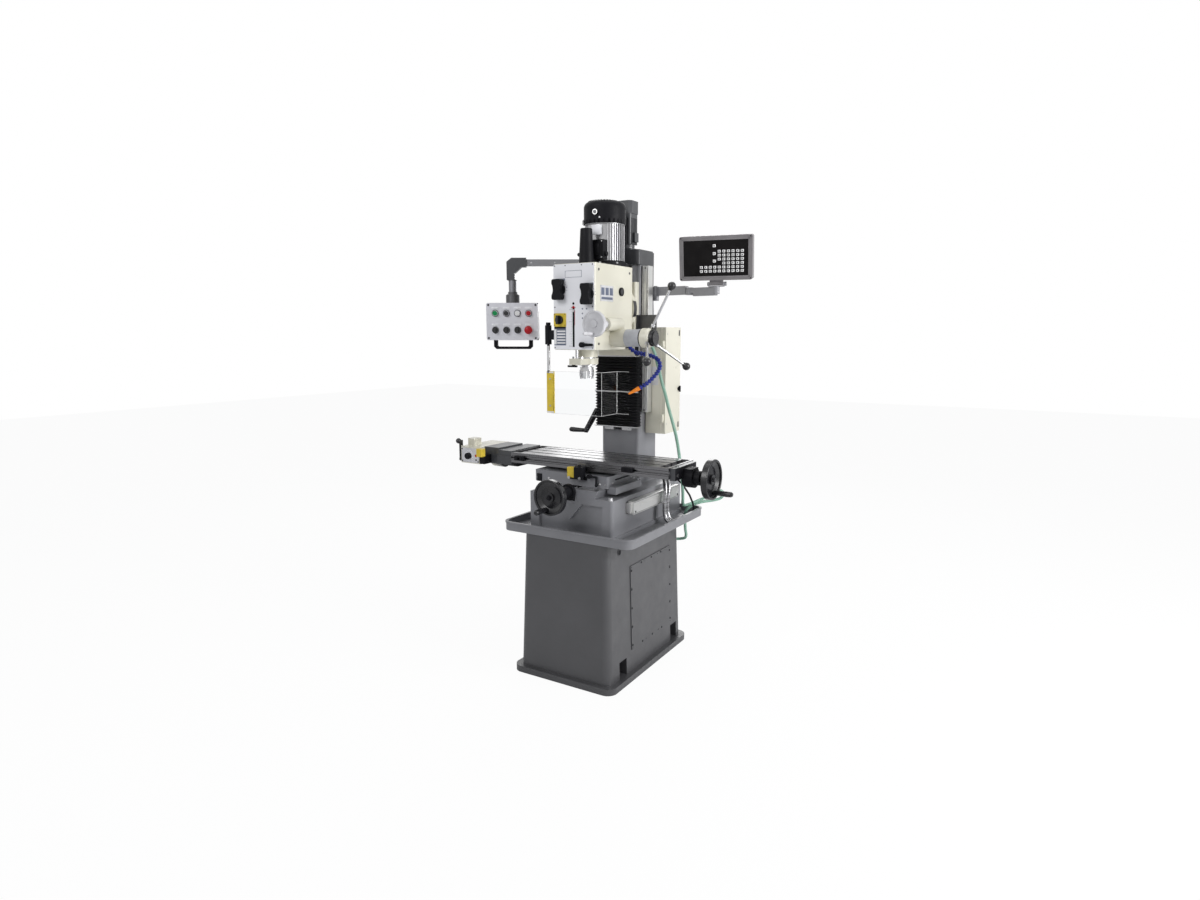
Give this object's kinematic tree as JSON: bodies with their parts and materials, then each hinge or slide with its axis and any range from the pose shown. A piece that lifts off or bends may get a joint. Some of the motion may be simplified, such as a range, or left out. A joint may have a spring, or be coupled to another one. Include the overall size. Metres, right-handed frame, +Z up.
{
  "type": "mill drill",
  "caption": "Geared head mill drill on a cabinet stand, with cross table, power feed, swivelling head, quill, pendant controls and readout.",
  "frame": {"origin": "centre of the underside of the stand's foot", "axes": "+X to the right along the table, +Y to the back, +Z up"},
  "size_m": [1.3243, 0.9719, 2.081],
  "materials": {
    "stand_paint": "satin, fine hammer finish",
    "casting_paint": "semi gloss enamel on cast iron",
    "cream_paint": "semi gloss enamel",
    "white_panel": "satin",
    "ground_steel": "ground",
    "bright_steel": "polished",
    "silver_scale": "anodised",
    "black_plastic": "fine grain",
    "gloss_black": "gloss",
    "rubber_cover": "matte",
    "grey_plastic": "fine grain",
    "yellow_plastic": "gloss",
    "clear_sheet": "clear",
    "blue_plastic": "satin",
    "hose_green": "translucent hose",
    "motor_alloy": "cast",
    "button_green": "gloss",
    "button_white": "gloss",
    "button_red": "gloss"
  },
  "bodies": {
    "root": {"stand_cabinet": "stand_paint", "access_panel": "stand_paint", "chip_tray": "stand_paint", "machine_base": "casting_paint", "y_bearing": "black_plastic", "column": "casting_paint", "column_cap": "casting_paint", "lift_motor": "casting_paint", "z_scale": "silver_scale", "y_scale": "silver_scale", "electric_box": "cream_paint", "z_bellows": "rubber_cover", "conduits": "bright_steel", "coolant_hose": "hose_green"},
    "electric_door": {"electric_door": "cream_paint"},
    "y_wheel": {"y_handwheel": "gloss_black", "y_screw": "bright_steel"},
    "saddle": {"saddle": "casting_paint", "limit_switches": "yellow_plastic"},
    "saddle_lock": {"saddle_lock": "black_plastic"},
    "table": {"table": "ground_steel", "table_brackets": "casting_paint", "trip_dogs": "black_plastic", "feed_housing": "cream_paint"},
    "x_wheel": {"x_handwheel": "gloss_black"},
    "feed_lever": {"feed_lever": "gloss_black"},
    "feed_knob": {"feed_knob": "black_plastic"},
    "z_crank": {"z_crank": "gloss_black"},
    "z_screw": {"z_screw": "bright_steel"},
    "carriage": {"z_carriage": "cream_paint"},
    "head": {"gear_head": "cream_paint", "front_plate": "white_panel", "motor_body": "motor_alloy", "fan_cover": "black_plastic", "terminal_box": "black_plastic", "drawbar_cap": "black_plastic", "nozzle_hose": "blue_plastic"},
    "quill": {"quill": "bright_steel"},
    "spindle": {"spindle": "bright_steel"},
    "feed_hub": {"feed_hub": "cream_paint", "feed_spokes": "bright_steel"},
    "fine_wheel": {"fine_wheel": "bright_steel"},
    "quill_lock": {"quill_lock": "black_plastic"},
    "speed_lever_left": {"speed_lever_left": "gloss_black"},
    "speed_lever_right": {"speed_lever_right": "gloss_black"},
    "main_switch": {"main_switch": "gloss_black"},
    "guard": {"guard": "clear_sheet"},
    "pendant_arm": {"pendant_arm": "casting_paint"},
    "pendant_box": {"pendant_box": "grey_plastic"},
    "button_green": {"button_green": "button_green"},
    "button_black": {"button_black": "gloss_black"},
    "button_white": {"button_white": "button_white"},
    "button_red": {"button_red": "button_red"},
    "selector_left": {"selector_left": "gloss_black"},
    "selector_middle": {"selector_middle": "gloss_black"},
    "selector_right": {"selector_right": "gloss_black"},
    "emergency_stop": {"emergency_stop": "button_red"},
    "dro_arm_inner": {"dro_arm_inner": "casting_paint"},
    "dro_arm_outer": {"dro_arm_outer": "casting_paint"},
    "dro_display": {"dro_display": "black_plastic"}
  },
  "joints": [
    {"name": "electric_door_hinge", "type": "hinge", "parent": "root", "child": "electric_door", "pos_m": [0.194, 0.189, 1.2775], "axis": [0, 0, 1], "range_deg": [-90, 0]},
    {"name": "cross_wheel_turn", "type": "hinge", "parent": "root", "child": "y_wheel", "pos_m": [0, -0.417, 0.831], "axis": [0, 1, 0], "range_deg": [-4320, 7200]},
    {"name": "saddle_slide", "type": "slide", "parent": "root", "child": "saddle", "axis": [0, 1, 0], "range_m": [-0.06, 0.1]},
    {"name": "saddle_lock_turn", "type": "hinge", "parent": "saddle", "child": "saddle_lock", "pos_m": [0.066, -0.226, 0.893], "axis": [0, 1, 0], "range_deg": [-60, 0]},
    {"name": "table_wheel_turn", "type": "hinge", "parent": "table", "child": "x_wheel", "pos_m": [0.545, -0.085, 0.905], "axis": [1, 0, 0], "range_deg": [-14400, 10440]},
    {"name": "table_slide", "type": "slide", "parent": "saddle", "child": "table", "axis": [1, 0, 0], "range_m": [-0.2, 0.145]},
    {"name": "feed_lever_swing", "type": "hinge", "parent": "table", "child": "feed_lever", "pos_m": [-0.668, -0.213, 0.902], "axis": [1, 0, 0], "range_deg": [-18, 18]},
    {"name": "feed_knob_turn", "type": "hinge", "parent": "table", "child": "feed_knob", "pos_m": [-0.607, -0.225, 0.924], "axis": [0, 1, 0], "range_deg": [-150, 150]},
    {"name": "lifting_crank_turn", "type": "hinge", "parent": "root", "child": "z_crank", "pos_m": [-0.11, 0.148, 1.128], "axis": [1, 0, 0], "range_deg": [-12240, 2880]},
    {"name": "lifting_screw_turn", "type": "hinge", "parent": "root", "child": "z_screw", "pos_m": [0, 0.148, 1.4], "axis": [0, 0, 1], "range_deg": [-12240, 2880]},
    {"name": "carriage_slide", "type": "slide", "parent": "root", "child": "carriage", "axis": [0, 0, 1], "range_m": [-0.17, 0.04], "deforming": ["z_bellows"]},
    {"name": "head_swivel", "type": "hinge", "parent": "carriage", "child": "head", "pos_m": [0, 0.074, 1.6], "axis": [0, 1, 0], "range_deg": [-30, 30]},
    {"name": "feed_hub_turn", "type": "hinge", "parent": "head", "child": "feed_hub", "pos_m": [0.2, -0.095, 1.473], "axis": [1, 0, 0], "range_deg": [0, 416.5], "stiffness_Nm_per_rad": 0.12, "springref_deg": -572.96},
    {"name": "quill_slide", "type": "slide", "parent": "head", "child": "quill", "axis": [0, 0, 1], "range_m": [-0.1272, 0]},
    {"name": "spindle_turn", "type": "hinge", "parent": "quill", "child": "spindle", "pos_m": [0, -0.15, 1.33], "axis": [0, 0, 1], "continuous": true},
    {"name": "fine_feed_turn", "type": "hinge", "parent": "head", "child": "fine_wheel", "pos_m": [0.118, -0.27, 1.53], "axis": [0, 1, 0], "continuous": true},
    {"name": "quill_lock_turn", "type": "hinge", "parent": "head", "child": "quill_lock", "pos_m": [0.046, -0.25, 1.446], "axis": [0, 1, 0], "range_deg": [-45, 20]},
    {"name": "speed_lever_left_turn", "type": "hinge", "parent": "head", "child": "speed_lever_left", "pos_m": [-0.063, -0.25, 1.671], "axis": [0, 1, 0], "range_deg": [-60, 60]},
    {"name": "speed_lever_right_turn", "type": "hinge", "parent": "head", "child": "speed_lever_right", "pos_m": [0.076, -0.25, 1.65], "axis": [0, 1, 0], "range_deg": [-60, 60]},
    {"name": "main_switch_turn", "type": "hinge", "parent": "head", "child": "main_switch", "pos_m": [-0.067, -0.25, 1.548], "axis": [0, 1, 0], "range_deg": [-45, 45]},
    {"name": "guard_swing", "type": "hinge", "parent": "head", "child": "guard", "pos_m": [-0.138, -0.236, 1.5], "axis": [0, 0, 1], "range_deg": [-110, 0]},
    {"name": "pendant_arm_swing", "type": "hinge", "parent": "root", "child": "pendant_arm", "pos_m": [-0.142, 0.188, 1.81], "axis": [0, 0, 1], "range_deg": [-25, 20]},
    {"name": "pendant_box_swivel", "type": "hinge", "parent": "pendant_arm", "child": "pendant_box", "pos_m": [-0.49172, -0.02214, 1.67], "axis": [0, 0, 1], "range_deg": [-30, 30]},
    {"name": "dro_arm_inner_swing", "type": "hinge", "parent": "root", "child": "dro_arm_inner", "pos_m": [0.128, 0.238, 1.68], "axis": [0, 0, 1], "range_deg": [-10, 15]},
    {"name": "dro_arm_outer_swing", "type": "hinge", "parent": "dro_arm_inner", "child": "dro_arm_outer", "pos_m": [0.30532, 0.22249, 1.69], "axis": [0, 0, 1], "range_deg": [-15, 25]},
    {"name": "dro_display_tilt", "type": "hinge", "parent": "dro_arm_outer", "child": "dro_display", "pos_m": [0.44064, 0.20106, 1.703], "axis": [0.9781, 0.2079, 0], "range_deg": [-12, 10]},
    {"name": "button_green_press", "type": "slide", "parent": "pendant_box", "child": "button_green", "axis": [-0.515, 0.8572, 0], "range_m": [0, 0.004], "stiffness_N_per_m": 400, "springref_m": -0.0005},
    {"name": "button_black_press", "type": "slide", "parent": "pendant_box", "child": "button_black", "axis": [-0.515, 0.8572, 0], "range_m": [0, 0.004], "stiffness_N_per_m": 400, "springref_m": -0.0005},
    {"name": "button_white_press", "type": "slide", "parent": "pendant_box", "child": "button_white", "axis": [-0.515, 0.8572, 0], "range_m": [0, 0.004], "stiffness_N_per_m": 400, "springref_m": -0.0005},
    {"name": "button_red_press", "type": "slide", "parent": "pendant_box", "child": "button_red", "axis": [-0.515, 0.8572, 0], "range_m": [0, 0.004], "stiffness_N_per_m": 400, "springref_m": -0.0005},
    {"name": "selector_left_turn", "type": "hinge", "parent": "pendant_box", "child": "selector_left", "pos_m": [-0.53283, -0.10517, 1.508], "axis": [-0.515, 0.8572, 0], "range_deg": [-45, 45]},
    {"name": "selector_middle_turn", "type": "hinge", "parent": "pendant_box", "child": "selector_middle", "pos_m": [-0.48826, -0.07838, 1.508], "axis": [-0.515, 0.8572, 0], "range_deg": [-45, 45]},
    {"name": "selector_right_turn", "type": "hinge", "parent": "pendant_box", "child": "selector_right", "pos_m": [-0.44369, -0.0516, 1.508], "axis": [-0.515, 0.8572, 0], "range_deg": [-45, 45]},
    {"name": "emergency_stop_press", "type": "slide", "parent": "pendant_box", "child": "emergency_stop", "axis": [-0.515, 0.8572, 0], "range_m": [0, 0.004]}
  ],
  "couplings": [
    {"joint": "cross_wheel_turn", "follows": "saddle_slide", "rad_per_m": 1256.6},
    {"joint": "table_wheel_turn", "follows": "table_slide", "rad_per_m": 1256.6},
    {"joint": "lifting_crank_turn", "follows": "carriage_slide", "rad_per_m": 1256.6},
    {"joint": "lifting_screw_turn", "follows": "carriage_slide", "rad_per_m": 1256.6},
    {"joint": "feed_hub_turn", "follows": "quill_slide", "rad_per_m": -57.143}
  ]
}
